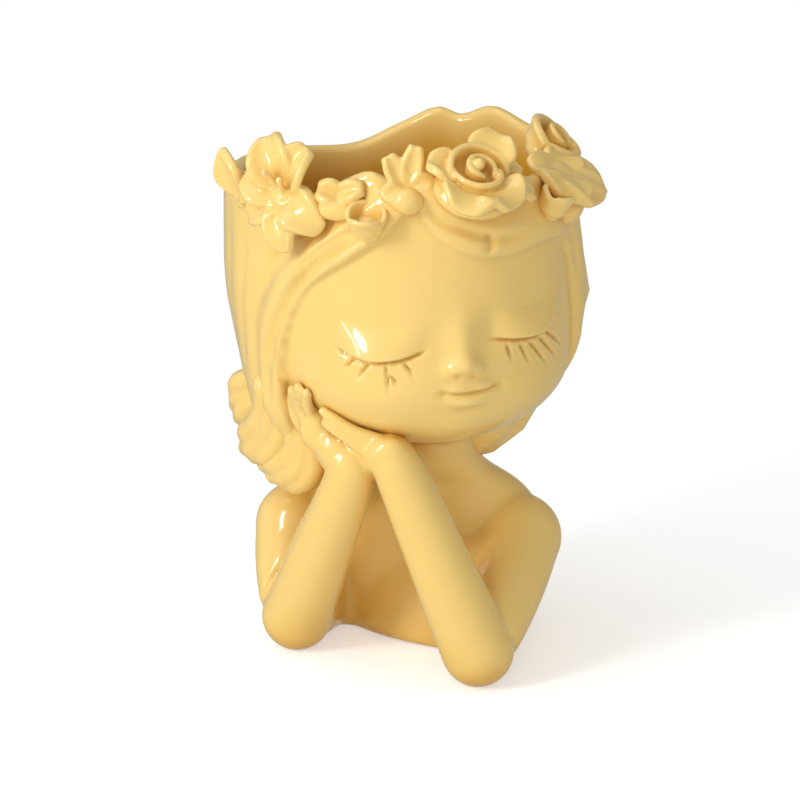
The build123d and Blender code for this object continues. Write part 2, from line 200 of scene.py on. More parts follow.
def addMath(tree, operation, *values, **settings):
    node = addNode(tree, "Math", dict(enumerate(values)), operation=operation, **settings)
    return node.outputs["Value"]


def addRange(tree, value, fromSpan=(0.0, 1.0), toSpan=(0.0, 1.0), **settings):
    spans = {"From Min": fromSpan[0], "From Max": fromSpan[1], "To Min": toSpan[0], "To Max": toSpan[1]}
    return addNode(tree, "MapRange", {"Value": value, **spans}, **settings).outputs["Result"]


def addNoise(tree, place, scale, detail):
    return addNode(tree, "TexNoise", {"Vector": place, "Scale": scale, "Detail": detail}).outputs["Fac"]


def addTint(tree, share, first, second):
    node = addNode(tree, "Mix", {"Factor": share, "A": first, "B": second}, data_type="RGBA")
    return node.outputs["Result"]


def newGroup(name, inputs, outputs):
    group = bpy.data.node_groups.new(name, "ShaderNodeTree")
    for label, kind, value in inputs:
        socket = group.interface.new_socket(label, in_out="INPUT", socket_type=kind)
        socket.default_value = value
    for label, kind in outputs:
        group.interface.new_socket(label, in_out="OUTPUT", socket_type=kind)
    return group, group.nodes.new("NodeGroupInput"), group.nodes.new("NodeGroupOutput")


def makeGlazeGroup():
    # tone of a glaze by its thickness: pooled in creases and hollows, thin on edges, with slow clouds;
    # painted shade deepens it where ambient occlusion finds surfaces near
    look = glazeLook
    inputs = [(label, "NodeSocketColor", look[label.lower()]) for label in ("Body", "Pooled", "Worn")]
    inputs.append(("Cloud", "NodeSocketFloat", look["cloud"]))
    outputs = [("Color", "NodeSocketColor"), ("Roughness", "NodeSocketFloat"), ("Height", "NodeSocketFloat")]
    tree, source, sink = newGroup("glazeToneAndPaintedShade", inputs, outputs)
    given = source.outputs
    place = addNode(tree, "TexCoord").outputs["Object"]
    thick = addNode(tree, "Attribute", attribute_name="poolingAndInsideShade").outputs["Fac"]
    cloud = addMath(tree, "MULTIPLY", addNoise(tree, place, *look["cloudNoise"]), given["Cloud"])
    pooled = addMath(tree, "MULTIPLY_ADD", addRange(tree, thick, look["poolFrom"]), look["poolShare"], cloud)
    # painted shade: ambient occlusion pulls the tone toward the pooled colour
    reach = {"Distance": look["paintedShadeReach"]}
    clear = addNode(tree, "AmbientOcclusion", reach, samples=look["paintedShadeRays"]).outputs["AO"]
    paintedShade = addRange(tree, clear, look["paintedShadeFrom"], (0.0, look["paintedShadeShare"]))
    poolingAndPaintedShade = addMath(tree, "ADD", pooled, paintedShade, use_clamp=True)
    deeper = addTint(tree, poolingAndPaintedShade, given["Body"], given["Pooled"])
    thin = addMath(tree, "MULTIPLY", addRange(tree, thick, look["edgeFrom"]), look["edgeShare"])
    grain = addNoise(tree, place, *look["grainNoise"])
    feed(tree, sink, {
        "Color": addTint(tree, thin, deeper, given["Worn"]),
        "Roughness": addRange(tree, grain, toSpan=look["roughness"]),
        "Height": addNoise(tree, place, *look["swellNoise"]),
    })
    return tree


def newMaterial(name):
    material = bpy.data.materials.new(name)
    material.use_nodes = True
    return material, material.node_tree


def addBump(tree, height, strength, distance):
    values = {"Height": height, "Strength": strength, "Distance": distance}
    return addNode(tree, "Bump", values).outputs["Normal"]


def makeGlaze(group):
    material, tree = newMaterial("butterGlaze")
    tone = addNode(tree, "Group", node_tree=group).outputs
    feed(tree, tree.nodes["Principled BSDF"], {
        "Base Color": tone["Color"],
        "Roughness": tone["Roughness"],
        "Normal": addBump(tree, tone["Height"], *glazeLook["swellBump"]),
        "Coat Weight": 1.0,
        "Coat Roughness": glazeLook["coatRoughness"],
        "Coat IOR": glazeLook["coatIor"],
        "Specular IOR Level": glazeLook["specular"],
    })
    return material


def makeRubber():
    material, tree = newMaterial("stopperRubber")
    place = addNode(tree, "TexCoord").outputs["Object"]
    bloom = addNoise(tree, place, *rubberLook["bloomNoise"])
    feed(tree, tree.nodes["Principled BSDF"], {
        "Base Color": addTint(tree, bloom, rubberLook["dark"], rubberLook["pale"]),
        "Roughness": rubberLook["roughness"],
        "Normal": addBump(tree, bloom, *rubberLook["bloomBump"]),
    })
    return material


glaze = makeGlaze(makeGlazeGroup())
rubber = makeRubber()
print("finishes made")


blurShare = 0.6      # how much of its neighbours a point takes up in each round


def markPooling(piece, skin, least=-1.0):
    # how hollow (+) or sharp (-) the skin is at each point, as the glaze would run
    points = readPoints(piece)
    normals = readPoints(piece, "normal")
    edges = np.empty(len(piece.data.edges) * 2, int)
    piece.data.edges.foreach_get("vertices", edges)
    a, b = edges.reshape(-1, 2).T
    count = len(points)
    degree = np.bincount(a, minlength=count) + np.bincount(b, minlength=count)
    degree = np.maximum(degree, 1)

    def around(values):
        return (np.bincount(a, values[b], count) + np.bincount(b, values[a], count)) / degree

    middle = np.stack([around(points[:, axis]) for axis in range(3)], 1)
    reach = (points[b] - points[a]) ** 2
    spread = (np.bincount(a, reach.sum(1), count) + np.bincount(b, reach.sum(1), count)) / degree
    hollow = ((middle - points) * normals).sum(1) / np.maximum(spread, 1e-9)
    for _ in range(skin["poolBlur"]):
        hollow = (1 - blurShare) * hollow + blurShare * around(hollow)
    attribute = piece.data.attributes.new("poolingAndInsideShade", "FLOAT", "POINT")
    # least raises it where lines are cut and, on the head, inside the pot as painted shade
    attribute.data.foreach_set("value", np.maximum(np.clip(hollow * skin["poolScale"], -1, 1), least))


def finishPiece(piece, nodes, material=glaze, body="planter"):
    # from millimetres to the frame's metres, with its finish, its body and the nodes that it stands for
    piece.data.transform(Matrix.Translation(figureMiddle) @ Matrix.Scale(millimetre, 4))
    piece.data.materials.clear()
    piece.data.materials.append(material)
    pickOnly(piece)
    bpy.ops.object.shade_smooth()
    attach(piece, body)
    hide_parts(*nodes)
    print(piece.name, len(piece.data.polygons), "faces")


# The head

head = {
    "hairAxis": (-2.0, 9.0),
    "hairRadius": 58.5,
    "widest": 135.0,
    "hairDepth": 62.0,
    "hairRise": 200.0,
    "faceForward": 18.6,
    "faceBearing": 36.0,
    "faceRadius": 50.0,
    "faceWidest": 109.4,
    "faceDepth": 31.0,
    "faceRise": 170.0,
    "boreAxis": (9.0, 8.0),
    "boreRadius": 9.0,
    "wall": 5.0,
    "eggBlend": 4.0,
    "hangBlend": 3.0,
    "hangSlope": 0.85,         # share of a level distance that is true distance where the hair slopes
    "boreTop": 73.0,
    "boreMargin": 2.0,         # degrees by which the inside stops short of the bore
    "rimFoot": 172.0,
    "lipMargin": 1.2,
    "middleHeight": 125.0,     # where the skin is spun out from
    "columns": 360,
    "frontShare": 0.68,        # of the columns, over the front
    "frontMiddle": 20.0,
    "frontHalf": 85.0,
    "fanRows": 80,
    "wallRows": 50,
    "rimRows": 7,
    "innerRows": 17,
}
rimWave = [(-75, 35), (-48, 31), (-30, 30), (-14, 37), (-1, 43), (9, 41), (22, 45), (40, 40), (75, 37)]

# bearing and level along the edge between face and hair, round from the parting by the figure's right
faceOutline = [
    (16, 33), (8, 23), (-3, 14), (-16.5, 4), (-23.5, -6), (-29, -18), (-32.5, -30), (-35, -44),
    (-30, -58), (0, -64), (40, -62), (72, -54), (81, -40), (82, -22), (79, -6), (74, 8), (68, 15.5),
    (58, 17.5), (45, 15.5), (34, 15.5), (25, 20), (18.5, 28),
]

# how far out the hair hangs: bearing, then the radius at each level
hairLevels = [45, 24, 2, -11, -26, -44, -60, -68, -72]
hairHang = [
    (-180, [55.5, 59.5, 60, 60, 58.5, 53.5, 46.5, 38, 18]),
    (-125, [55.5, 59.5, 59.5, 59.5, 58, 53.5, 46.5, 38, 18]),
    (-78, [55.5, 58.5, 58.5, 57.5, 55.5, 52, 47, 38, 18]),
    (-55, [55.5, 58.5, 58.5, 57.5, 56, 53, 48.5, 38, 18]),
    (-38, [55.5, 58, 57.5, 56, 54.5, 51, 44, 34, 16]),
    (0, [0, 0, 0, 0, 0, 0, 0, 0, 0]),
    (70, [55.5, 58, 57, 55, 49, 39, 28, 20, 10]),
    (88, [55.5, 59, 60, 61, 56.5, 47, 37, 27, 12]),
    (102, [55.5, 59.5, 62.5, 65, 61, 52, 43, 33, 15]),
    (130, [55.5, 59.5, 61.5, 62.5, 60, 54.5, 47, 38, 18]),
    (180, [55.5, 59.5, 60, 60, 58.5, 53.5, 46.5, 38, 18]),
]


def bearingOf(points, axis):
    return np.degrees(np.arctan2(points[:, 0] - axis[0], axis[1] - points[:, 1]))


def toward(bearing):
    turn = np.radians(bearing)
    return np.stack([np.sin(turn), -np.cos(turn), 0 * turn], -1)


faceAxis = tuple(np.array(head["hairAxis"]) + head["faceForward"] * toward(head["faceBearing"])[:2])


def eggDistance(points, axis, radius, widest, depth, rise, grow):
    across = (points[:, 0] - axis[0]) ** 2 + (points[:, 1] - axis[1]) ** 2
    up = points[:, 2] - widest
    half = np.where(up > 0, rise, depth + grow)
    radius = radius + grow
    near = np.sqrt(across / radius ** 2 + (up / half) ** 2)
    slope = np.sqrt(across / radius ** 4 + (up / half ** 2) ** 2)
    return near * (near - 1) / np.maximum(slope, 1e-6)


def softJoin(first, second, blend):
    share = np.clip(0.5 + 0.5 * (second - first) / blend, 0, 1)
    return second + (first - second) * share - blend * share * (1 - share)


def eggsDistance(points, grow=0.0):
    hair = eggDistance(points, head["hairAxis"], head["hairRadius"], head["widest"], head["hairDepth"],
                       head["hairRise"], grow)
    face = eggDistance(points, faceAxis, head["faceRadius"], head["faceWidest"], head["faceDepth"],
                       head["faceRise"], grow)
    return softJoin(hair, face, head["eggBlend"])


def hangRadius(bearing, level):
    bearings = np.array([row[0] for row in hairHang], float)
    byBearing = np.array([np.interp(level, hairLevels[::-1], row[1][::-1]) for row in hairHang])
    at = np.clip(np.searchsorted(bearings, bearing) - 1, 0, len(bearings) - 2)
    share = softStep((bearing - bearings[at]) / (bearings[at + 1] - bearings[at]), 0, 1)
    each = np.arange(len(bearing))
    return byBearing[at, each] * (1 - share) + byBearing[at + 1, each] * share


def headDistance(points):
    bearing = bearingOf(points, head["hairAxis"])
    level = points[:, 2] - head["widest"]
    out = np.hypot(points[:, 0] - head["hairAxis"][0], points[:, 1] - head["hairAxis"][1])
    hang = head["hangSlope"] * (out - hangRadius(bearing, level))
    hang = np.where(level < hairLevels[-1], np.maximum(hang, hairLevels[-1] - level), hang)
    return softJoin(eggsDistance(points), hang, head["hangBlend"])


rayReach = 110.0
rayHalvings = 26


def reachOut(starts, ways, distance):
    # the point where each ray leaves the form
    low = np.zeros(len(starts))
    high = np.full(len(starts), rayReach)
    for _ in range(rayHalvings):
        middle = (low + high) / 2
        inside = distance(starts + ways * middle[:, None]) < 0
        low = np.where(inside, middle, low)
        high = np.where(inside, high, middle)
    return starts + ways * low[:, None]


def rimHeight(x):
    wave = smoothCurve(rimWave, 200)
    return head["widest"] + np.interp(x, wave[:, 0], wave[:, 1])


def columnBearings():
    front = int(head["columns"] * head["frontShare"])
    back = head["columns"] - front
    half = head["frontHalf"]
    first = np.linspace(-half, half, front, endpoint=False)
    second = np.linspace(half, 360 - half, back, endpoint=False)
    return np.concatenate([first, second]) + head["frontMiddle"]


potMiddle = np.array([*head["boreAxis"], head["middleHeight"]])


def onRays(points, distance):
    # ray through each point: level above the middle, and fanned out from it below
    starts = np.tile(potMiddle, (len(points), 1))
    starts[:, 2] = np.maximum(points[:, 2], potMiddle[2])
    ways = points - starts
    ways /= np.linalg.norm(ways, axis=1)[:, None]
    return reachOut(starts, ways, distance)


def headRows():
    # the profile's loop: up the outside, over the rim, down the inside, for every column
    ways = toward(columnBearings())
    starts = np.tile(potMiddle, (len(ways), 1))
    steepest = math.degrees(math.atan2(head["middleHeight"] - head["boreTop"], head["boreRadius"]))

    def fan(angle, distance):
        turn = math.radians(angle)
        aim = ways * math.cos(turn) + np.array([0, 0, -math.sin(turn)])
        return reachOut(starts, aim, distance)

    def level(heights, distance):
        raised = starts.copy()
        raised[:, 2] = heights
        return reachOut(raised, ways, distance)

    def inner(points):
        return eggsDistance(points, -head["wall"])

    rimFoot = level(np.full(len(ways), head["rimFoot"]), headDistance)
    lip = head["wall"] / 2
    tops = rimHeight(rimFoot[:, 0]) - lip
    rows = [fan(angle, headDistance) for angle in np.linspace(steepest, 0, head["fanRows"], endpoint=False)]
    for share in np.linspace(0, 1, head["wallRows"]):
        rows.append(level(potMiddle[2] + share * (tops - potMiddle[2]), headDistance))
    outerLip = rows[-1]
    innerLip = level(tops, inner)
    for share in np.linspace(0, 1, head["rimRows"] + 2)[1:-1]:
        turn = math.pi * share
        across = (1 + math.cos(turn)) / 2
        row = outerLip * across + innerLip * (1 - across)
        row[:, 2] += lip * math.sin(turn)
        rows.append(row)
    for share in np.linspace(0, 1, head["innerRows"]):
        rows.append(level(tops + share * (potMiddle[2] - tops), inner))
    for angle in np.linspace(0, steepest - head["boreMargin"], head["innerRows"] + 1)[1:]:
        rows.append(fan(angle, inner))
    return np.array(rows)


def makeHeadSkin():
    rows = headRows()
    rowCount, columnCount = rows.shape[:2]
    skin = addThing(bpy.ops.mesh.primitive_torus_add, major_segments=columnCount, minor_segments=rowCount,
                    major_radius=1.0, minor_radius=0.25)
    skin.name = "headPot"
    ring = readPoints(skin)
    outward = np.hypot(ring[:, 0], ring[:, 1]) - 1.0

    def stepAt(high, wide, count):
        return np.round(np.arctan2(high, wide) / (2 * np.pi) * count).astype(int) % count

    column = stepAt(ring[:, 1], ring[:, 0], columnCount)
    row = stepAt(ring[:, 2], outward, rowCount)
    writePoints(skin, rows[row, column])
    editWhole(skin, bpy.ops.mesh.normals_make_consistent, inside=False)
    return skin


def outerMask(points):
    below = points[:, 2] < rimHeight(points[:, 0]) - head["lipMargin"]
    return (eggsDistance(points) > -0.5 * head["wall"]) & below


faceZone = {"bearings": (-30, 88), "heights": (98, 136)}


def between(values, span):
    return (values > span[0]) & (values < span[1])


def refineFace(skin):
    # smaller faces where the eyes, nose and mouth are cut
    points = readPoints(skin)
    bearing = bearingOf(points, faceAxis)
    near = between(bearing, faceZone["bearings"]) & between(points[:, 2], faceZone["heights"])
    near &= outerMask(points)
    pickOnly(skin)
    setMode("EDIT")
    bpy.ops.mesh.select_mode(type="FACE")
    bpy.ops.mesh.select_all(action="DESELECT")
    setMode("OBJECT")
    for polygon in skin.data.polygons:
        polygon.select = all(near[index] for index in polygon.vertices)
    setMode("EDIT")
    bpy.ops.mesh.subdivide(number_cuts=1)
    setMode("OBJECT")
    points = readPoints(skin)
    outer = outerMask(points)
    points[outer] = onRays(points[outer], headDistance)
    writePoints(skin, points)


def lineDistance(across, up, line):
    # distance to a drawn line, and how far along it the nearest place is
    best = np.full(len(across), 1e9)
    along = np.zeros(len(across))
    spans = len(line) - 1
    for index in range(spans):
        (ax, ay), (bx, by) = line[index], line[index + 1]
        wayX, wayY = bx - ax, by - ay
        share = ((across - ax) * wayX + (up - ay) * wayY) / (wayX ** 2 + wayY ** 2)
        share = np.clip(share, 0, 1)
        away = np.hypot(across - ax - share * wayX, up - ay - share * wayY)
        nearer = away < best
        best = np.where(nearer, away, best)
        along = np.where(nearer, (index + share) / spans, along)
    return best, along


def fadeEnds(along, steep, least=0.0):
    return np.clip(np.minimum(along, 1 - along) * steep, least, 1)


def skinLine(places, scale, count):
    # smooth line over the skin, its bearings turned to millimetres
    line = smoothCurve(places, count)
    line[:, 0] *= scale
    return line


def insideOutline(across, up, line):
    crossings = np.zeros(len(across), int)
    for index in range(len(line) - 1):
        (ax, ay), (bx, by) = line[index], line[index + 1]
        spansIt = (ay > up) != (by > up)
        at = ax + (up - ay) / (by - ay + 1e-12) * (bx - ax)
        crossings += spansIt & (across < at)
    return crossings % 2 == 1


eyes = {
    # lash line in bearing round the face and height, outer corner first, then the lashes
    "right": {
        "line": [(-23.4, 120.0), (-17.5, 118.0), (-9.6, 116.6), (-1.9, 116.8), (4.4, 117.9), (9.1, 119.4),
                 (13.4, 120.8)],
        "lashes": [((-14.8, 117.0), (-19.0, 112.8)), ((-8.6, 116.0), (-13.2, 110.4)),
                   ((-2.0, 115.8), (-0.3, 105.7)), ((-0.6, 112.6), (3.4, 109.2)),
                   ((4.7, 117.0), (9.0, 112.0))],
        "top": 128.0,
    },
    "left": {
        "line": [(79.9, 127.5), (71.6, 124.7), (65.2, 123.0), (57.7, 122.0), (48.0, 122.2), (37.7, 123.7)],
        "lashes": [((45.2, 121.1), (47.5, 115.0)), ((51.4, 120.3), (55.8, 113.0)),
                   ((56.1, 120.5), (67.0, 110.6)), ((61.8, 120.9), (75.0, 111.4)),
                   ((66.0, 122.3), (81.0, 114.3))],
        "top": 132.5,
    },
    "lidHeight": 3.1,
    "lidTaper": 1.3,
    "lidRound": 1.4,
    "lidFoot": (-0.35, 0.75),
    "lineDepth": 1.5,
    "lineWidth": 0.6,
    "lineEnds": (9, 0.15),
    "lashDepth": 1.25,
    "lashWidth": 0.55,
    "lashRoot": (4, 0.35),
    "lashTip": 2.2,
    "burr": (0.16, 1.3, 0.6),      # height, distance from the stroke and half width
}
faceScale = math.radians(head["faceRadius"])      # millimetres of skin to one degree


def eyeRelief(across, up, eye):
    line = skinLine(eye["line"], faceScale, 40)
    low, high = min(line[0, 0], line[-1, 0]), max(line[0, 0], line[-1, 0])
    ordered = line[np.argsort(line[:, 0])]
    lashUp = np.interp(across, ordered[:, 0], ordered[:, 1])
    share = np.clip((across - low) / (high - low), 0, 1)
    span = np.sin(np.pi * share) ** eyes["lidTaper"]
    rise = (up - lashUp) / (eye["top"] - ordered[:, 1].min())
    rounded = eyes["lidRound"]
    dome = np.where(rise > 0, np.clip(1 - rise, 0, 1) ** rounded * (1 + rounded * np.clip(rise, 0, 1)), 0)
    lid = eyes["lidHeight"] * span * dome * softStep(up - lashUp, *eyes["lidFoot"])
    away, along = lineDistance(across, up, line)
    drawn = bell(away, eyes["lineWidth"]) * fadeEnds(along, *eyes["lineEnds"])
    relief = lid - eyes["lineDepth"] * drawn
    strokes = np.zeros(len(across))
    steep, least = eyes["lashRoot"]
    burrHeight, burrAway, burrWidth = eyes["burr"]
    for ends in eye["lashes"]:
        lash = [(bearing * faceScale, height) for bearing, height in ends]
        away, along = lineDistance(across, up, lash)
        taper = np.clip(np.minimum(steep * along + least, eyes["lashTip"] * (1 - along)), 0, 1)
        relief += burrHeight * bell(away - burrAway, burrWidth) * taper
        strokes = np.maximum(strokes, bell(away, eyes["lashWidth"]) * taper)
    return relief - eyes["lashDepth"] * strokes, np.maximum(drawn, strokes)


features = {
    # bearing round the face, height, half width, half height and how far it stands out
    "noseTip": (27.5, 116.0, 4.3, 4.2, 3.9),
    "noseBridge": (26.5, 123.5, 4.6, 9.0, 1.5),
    "noseWingRight": (22.2, 114.4, 2.6, 2.4, 1.3),
    "noseWingLeft": (32.8, 114.6, 2.6, 2.4, 1.4),
    "nostrilRight": (25.0, 112.3, 1.3, 1.0, -0.9),
    "nostrilLeft": (30.2, 112.4, 1.3, 1.0, -0.9),
    "upperLipRight": (25.5, 108.0, 4.2, 1.7, 1.3),
    "upperLipLeft": (34.0, 108.4, 4.2, 1.7, 1.3),
    "lowerLip": (30.0, 103.4, 6.2, 2.1, 1.9),
    "mouthCornerRight": (19.8, 106.4, 2.0, 1.7, -1.0),
    "mouthCornerLeft": (41.8, 107.8, 2.0, 1.8, -1.1),
    "underLip": (30.0, 99.6, 7.0, 2.2, -0.7),
    "chin": (28.0, 92.5, 11.0, 6.5, 1.5),
    "cheekRight": (0.0, 104.0, 13.0, 10.0, 1.2),
    "cheekLeft": (56.0, 105.0, 12.0, 10.0, 1.2),
    "socketRight": (17.0, 125.5, 5.0, 6.0, -0.7),
    "socketLeft": (38.5, 127.0, 5.0, 6.0, -1.4),
}
mouthLine = [(20.3, 106.4), (24.5, 105.9), (29.4, 106.1), (35.0, 106.5), (39.5, 107.4), (41.9, 108.0)]
mouthCut = {"depth": 1.4, "width": 0.65, "ends": (6, 0.3), "pooled": 0.8}


def faceRelief(points):
    # how far the features stand out, and where a line is drawn
    across = bearingOf(points, faceAxis) * faceScale
    up = points[:, 2]
    rightEye, rightDrawn = eyeRelief(across, up, eyes["right"])
    leftEye, leftDrawn = eyeRelief(across, up, eyes["left"])
    relief = rightEye + leftEye
    for bearing, height, wide, high, out in features.values():
        relief += out * bell(np.hypot((across - bearing * faceScale) / wide, (up - height) / high), 1.0)
    line = skinLine(mouthLine, faceScale, 30)
    away, along = lineDistance(across, up, line)
    mouth = bell(away, mouthCut["width"]) * fadeEnds(along, *mouthCut["ends"])
    drawn = np.maximum(np.maximum(rightDrawn, leftDrawn), mouthCut["pooled"] * mouth)
    return relief - mouthCut["depth"] * mouth, drawn


# furrows between the locks: bearing and level along each, then depth and half width
furrows = [
    ([(12, 36), (3, 26), (-8, 17), (-19, 6), (-28, -7), (-36, -22), (-40, -36), (-41, -48)], 2.6, 2.8),
    ([(-2, 31), (-12, 24), (-22, 17), (-33, 6), (-42, -8), (-47, -24), (-50, -40)], 0.7, 3.0),
    ([(-1, 22.5), (-9, 16.5), (-17, 9.5), (-24, 0)], 1.1, 1.0),
    ([(2, 27), (-6, 21.5), (-15, 14.5), (-22, 6.5)], 1.0, 0.9),
    ([(-12, 27), (-20, 22), (-28, 16), (-35, 8)], 1.2, 1.2),
    ([(-18, 27), (-26, 22), (-34, 15)], 0.9, 1.2),
    ([(-47, 22), (-49, 2), (-54, -18), (-58, -36)], 0.35, 2.2),
    ([(-60, 30), (-60, 5), (-63, -15), (-70, -34)], 0.35, 2.2),
    ([(17, 36), (23, 29), (31, 24.5), (40, 21.5), (50, 23)], 1.8, 1.8),
    ([(35, 17.5), (37, 20.5), (36, 23.5)], 1.4, 1.1),
    ([(56, 28), (66, 23), (75, 12), (80, -4)], 1.0, 2.2),
    ([(72, 28), (82, 20), (88, 4), (90, -14), (90, -26)], 1.2, 2.6),
    ([(84, 30), (94, 18), (99, 0), (101, -16), (100, -30)], 1.0, 2.6),
]
furrowEnds = 5
backHair = {
    "first": 108.0,
    "last": 266.0,
    "step": 9.5,
    "wave": 4.5,
    "waveLength": 62.0,
    "stagger": 2.5,            # how far each strand's wave lags its neighbour's
    "gather": 0.22,            # share by which the strands draw together at the nape
    "gatherOver": (10, -60),
    "depth": 2.0,
    "uneven": (0.6, 0.4, 2.3),     # least share of the depth, spread, and turn from strand to strand
    "width": 2.0,
    "topFade": (40, 20),
    "napeFade": (-70, -52),
    "seam": 60.0,              # bearing past which the count goes on round the back
}
hairLift = {
    "right": 4.8,
    "rightFade": (-66, -40),
    "left": 4.0,
    "leftFade": (-38, -20),
    "parting": 16.0,
    "edge": (-0.4, 1.2),
    "brow": (0.72, 6.0),       # share of the lift at the edge, and how far in it is whole
    "settle": (5.0, 17.0),
    "rest": 0.12,
}
hairScale = math.radians(60.0)     # millimetres of hair to one degree


def hairRelief(points):
    bearing = bearingOf(points, head["hairAxis"])
    across = bearing * hairScale
    level = points[:, 2] - head["widest"]
    outline = skinLine(faceOutline + faceOutline[:1], hairScale, 120)
    away, _ = lineDistance(across, level, outline)
    away = np.where(insideOutline(across, level, outline), -away, away)
    rightLift = hairLift["right"] * softStep(level, *hairLift["rightFade"])
    leftLift = hairLift["left"] * softStep(level, *hairLift["leftFade"])
    lift = np.where(bearing < hairLift["parting"], rightLift, leftLift)
    hair = softStep(away, *hairLift["edge"])
    settle = 1 - (1 - hairLift["rest"]) * softStep(away, *hairLift["settle"])
    brow, browReach = hairLift["brow"]
    relief = lift * hair * (brow + (1 - brow) * softStep(away, 0, browReach)) * settle
    for path, depth, width in furrows:
        gap, along = lineDistance(across, level, skinLine(path, hairScale, 30))
        relief -= depth * bell(gap, width) * fadeEnds(along, furrowEnds) * hair
    around = np.where(bearing < backHair["seam"], bearing + 360, bearing)
    middle = (backHair["first"] + backHair["last"]) / 2
    drawnIn = 1 - backHair["gather"] * softStep(level, *backHair["gatherOver"])
    fade = softStep(level, *backHair["topFade"]) * softStep(level, *backHair["napeFade"])
    least, spread, turn = backHair["uneven"]
    for number, at in enumerate(np.arange(backHair["first"], backHair["last"], backHair["step"])):
        waveAt = (level + backHair["stagger"] * number) / backHair["waveLength"]
        sway = backHair["wave"] * np.sin(2 * np.pi * waveAt)
        gap = (around - middle - (at - middle) * drawnIn - sway) * hairScale
        depth = backHair["depth"] * (least + spread * math.cos(turn * number))
        relief -= depth * bell(gap, backHair["width"]) * fade
    return relief, hair


headSkin = {
    "rimFade": (0.5, 7.0),
    "neckFade": (70, 78),
    # depth below the rim over which the inside turns to the pooled tone: glaze pooled inside and painted
    # shade
    "potShade": (2, 16),
    "insideShare": 0.6,
    "poolScale": 1.6,
    "poolBlur": 2,
}


def makeHead():
    skin = makeHeadSkin()
    refineFace(skin)
    points = readPoints(skin)
    normals = readPoints(skin, "normal")
    outer = outerMask(points)
    hairy, hair = hairRelief(points)
    faced, drawn = faceRelief(points)
    relief = hairy + faced * (1 - hair)
    belowRim = rimHeight(points[:, 0]) - points[:, 2]
    fade = softStep(belowRim, *headSkin["rimFade"]) * softStep(points[:, 2], *headSkin["neckFade"])
    points += normals * (relief * outer * fade)[:, None]
    writePoints(skin, points)
    # inside the pot the tone deepens with depth below the rim, partly glaze pooled there and partly painted
    # shade
    insideShade = softStep(rimHeight(points[:, 0]) - points[:, 2], *headSkin["potShade"])
    inside = eggsDistance(points) < -headSkin["insideShare"] * head["wall"]
    drawn = np.where(outer, drawn * (1 - hair), 0)
    markPooling(skin, headSkin, np.where(inside, insideShade, 2 * drawn - 1))
    locks = [f"hair_lock_{number}" for number in range(1, 11)]
    finishPiece(skin, ["head_shell", "fringe_right", "fringe_left", *locks])


makeHead()


# The bust and the two arms

arms = {
    # elbow on the floor, wrist, and each finger from root to tip
    "right": {
        "elbow": (-34.0, -12.0), "wrist": (-8.0, -40.5, 74.0),
        "fingers": [
            [(-21.5, -35.5, 83.5), (-27.0, -35.0, 88.5), (-29.0, -35.5, 94.8), (-28.0, -39.8, 101.2)],
            [(-19.0, -37.0, 84.5), (-24.0, -36.5, 89.5), (-26.2, -38.3, 95.6), (-25.0, -43.8, 103.5)],
            [(-15.5, -39.8, 86.5), (-20.3, -40.0, 91.2), (-22.0, -43.0, 97.0), (-21.7, -45.8, 102.0)],
        ],
    },
    "left": {
        "elbow": (34.0, -34.0), "wrist": (8.0, -44.5, 79.0),
        "fingers": [
            [(3.1, -46.3, 87.5), (-5.3, -46.7, 90.1), (-11.6, -47.0, 93.6), (-16.1, -46.2, 96.2)],
            [(1.0, -46.5, 82.0), (-5.0, -46.5, 86.0), (-10.5, -46.5, 89.3), (-15.5, -45.5, 92.0)],
        ],
    },
    "elbowRadius": 12.4,
    "elbowFlat": 0.6,
    "forearmRadius": 10.8,
    "forearmAt": 0.45,       # share of the way from elbow to wrist
    "wristRadius": 8.2,
    "fingerRadius": 2.1,
    "fingerTaper": (1.1, 1.05, 1.0, 0.85),
    "palm": (9.0, 6.0),      # half width and half thickness
    "palmReach": (0.6, 2.5),     # half length: a share of wrist to knuckles, and more
    "betweenHands": ((-7.0, -40.0, 81.0), (9.0, 5.0, 7.0)),
    "underCheek": ((-20.0, -38.5, 88.0), (6.0, 5.0, 8.0)),
}
bustSkin = {
    "weld": 0.002,
    "voxel": 0.87,
    "firstRounds": 34,
    "lastRounds": 7,
    "poolScale": 1.1,
    "poolBlur": 3,
}


def addTube(places, radii, resolution=4, sides=10):
    # round strand along a smooth line, with ball ends
    knots = [(*place, radius) for place, radius in zip(places, radii)]
    line = smoothCurve(knots, len(places) * resolution)
    path = addThing(bpy.ops.curve.primitive_nurbs_path_add)
    path.data.splines.clear()
    spline = path.data.splines.new("POLY")
    spline.points.add(len(line) - 1)
    for point, (x, y, z, radius) in zip(spline.points, line):
        point.co = (x, y, z, 1)
        point.radius = radius
    path.data.bevel_depth = 1.0
    path.data.bevel_resolution = sides // 2
    path.data.use_fill_caps = True
    path.data.twist_mode = "MINIMUM"
    bpy.ops.object.convert(target="MESH")
    tube = bpy.context.object
    balls = [addBall(line[end][:3], (line[end][3],) * 3) for end in (0, -1)]
    return joinPieces([tube] + balls, "strand")


def addBall(place, halves, turn=None):
    ball = addThing(bpy.ops.mesh.primitive_uv_sphere_add, segments=24, ring_count=14, radius=1.0)
    matrix = Matrix.Diagonal((*halves, 1))
    if turn is not None:
        matrix = turn.to_4x4() @ matrix
    ball.data.transform(Matrix.Translation(Vector(place)) @ matrix)
    return ball


def turnTo(along, outward):
    across = outward.cross(along).normalized()
    upward = along.cross(across).normalized()
    return Matrix((along.normalized(), across, upward)).transposed()


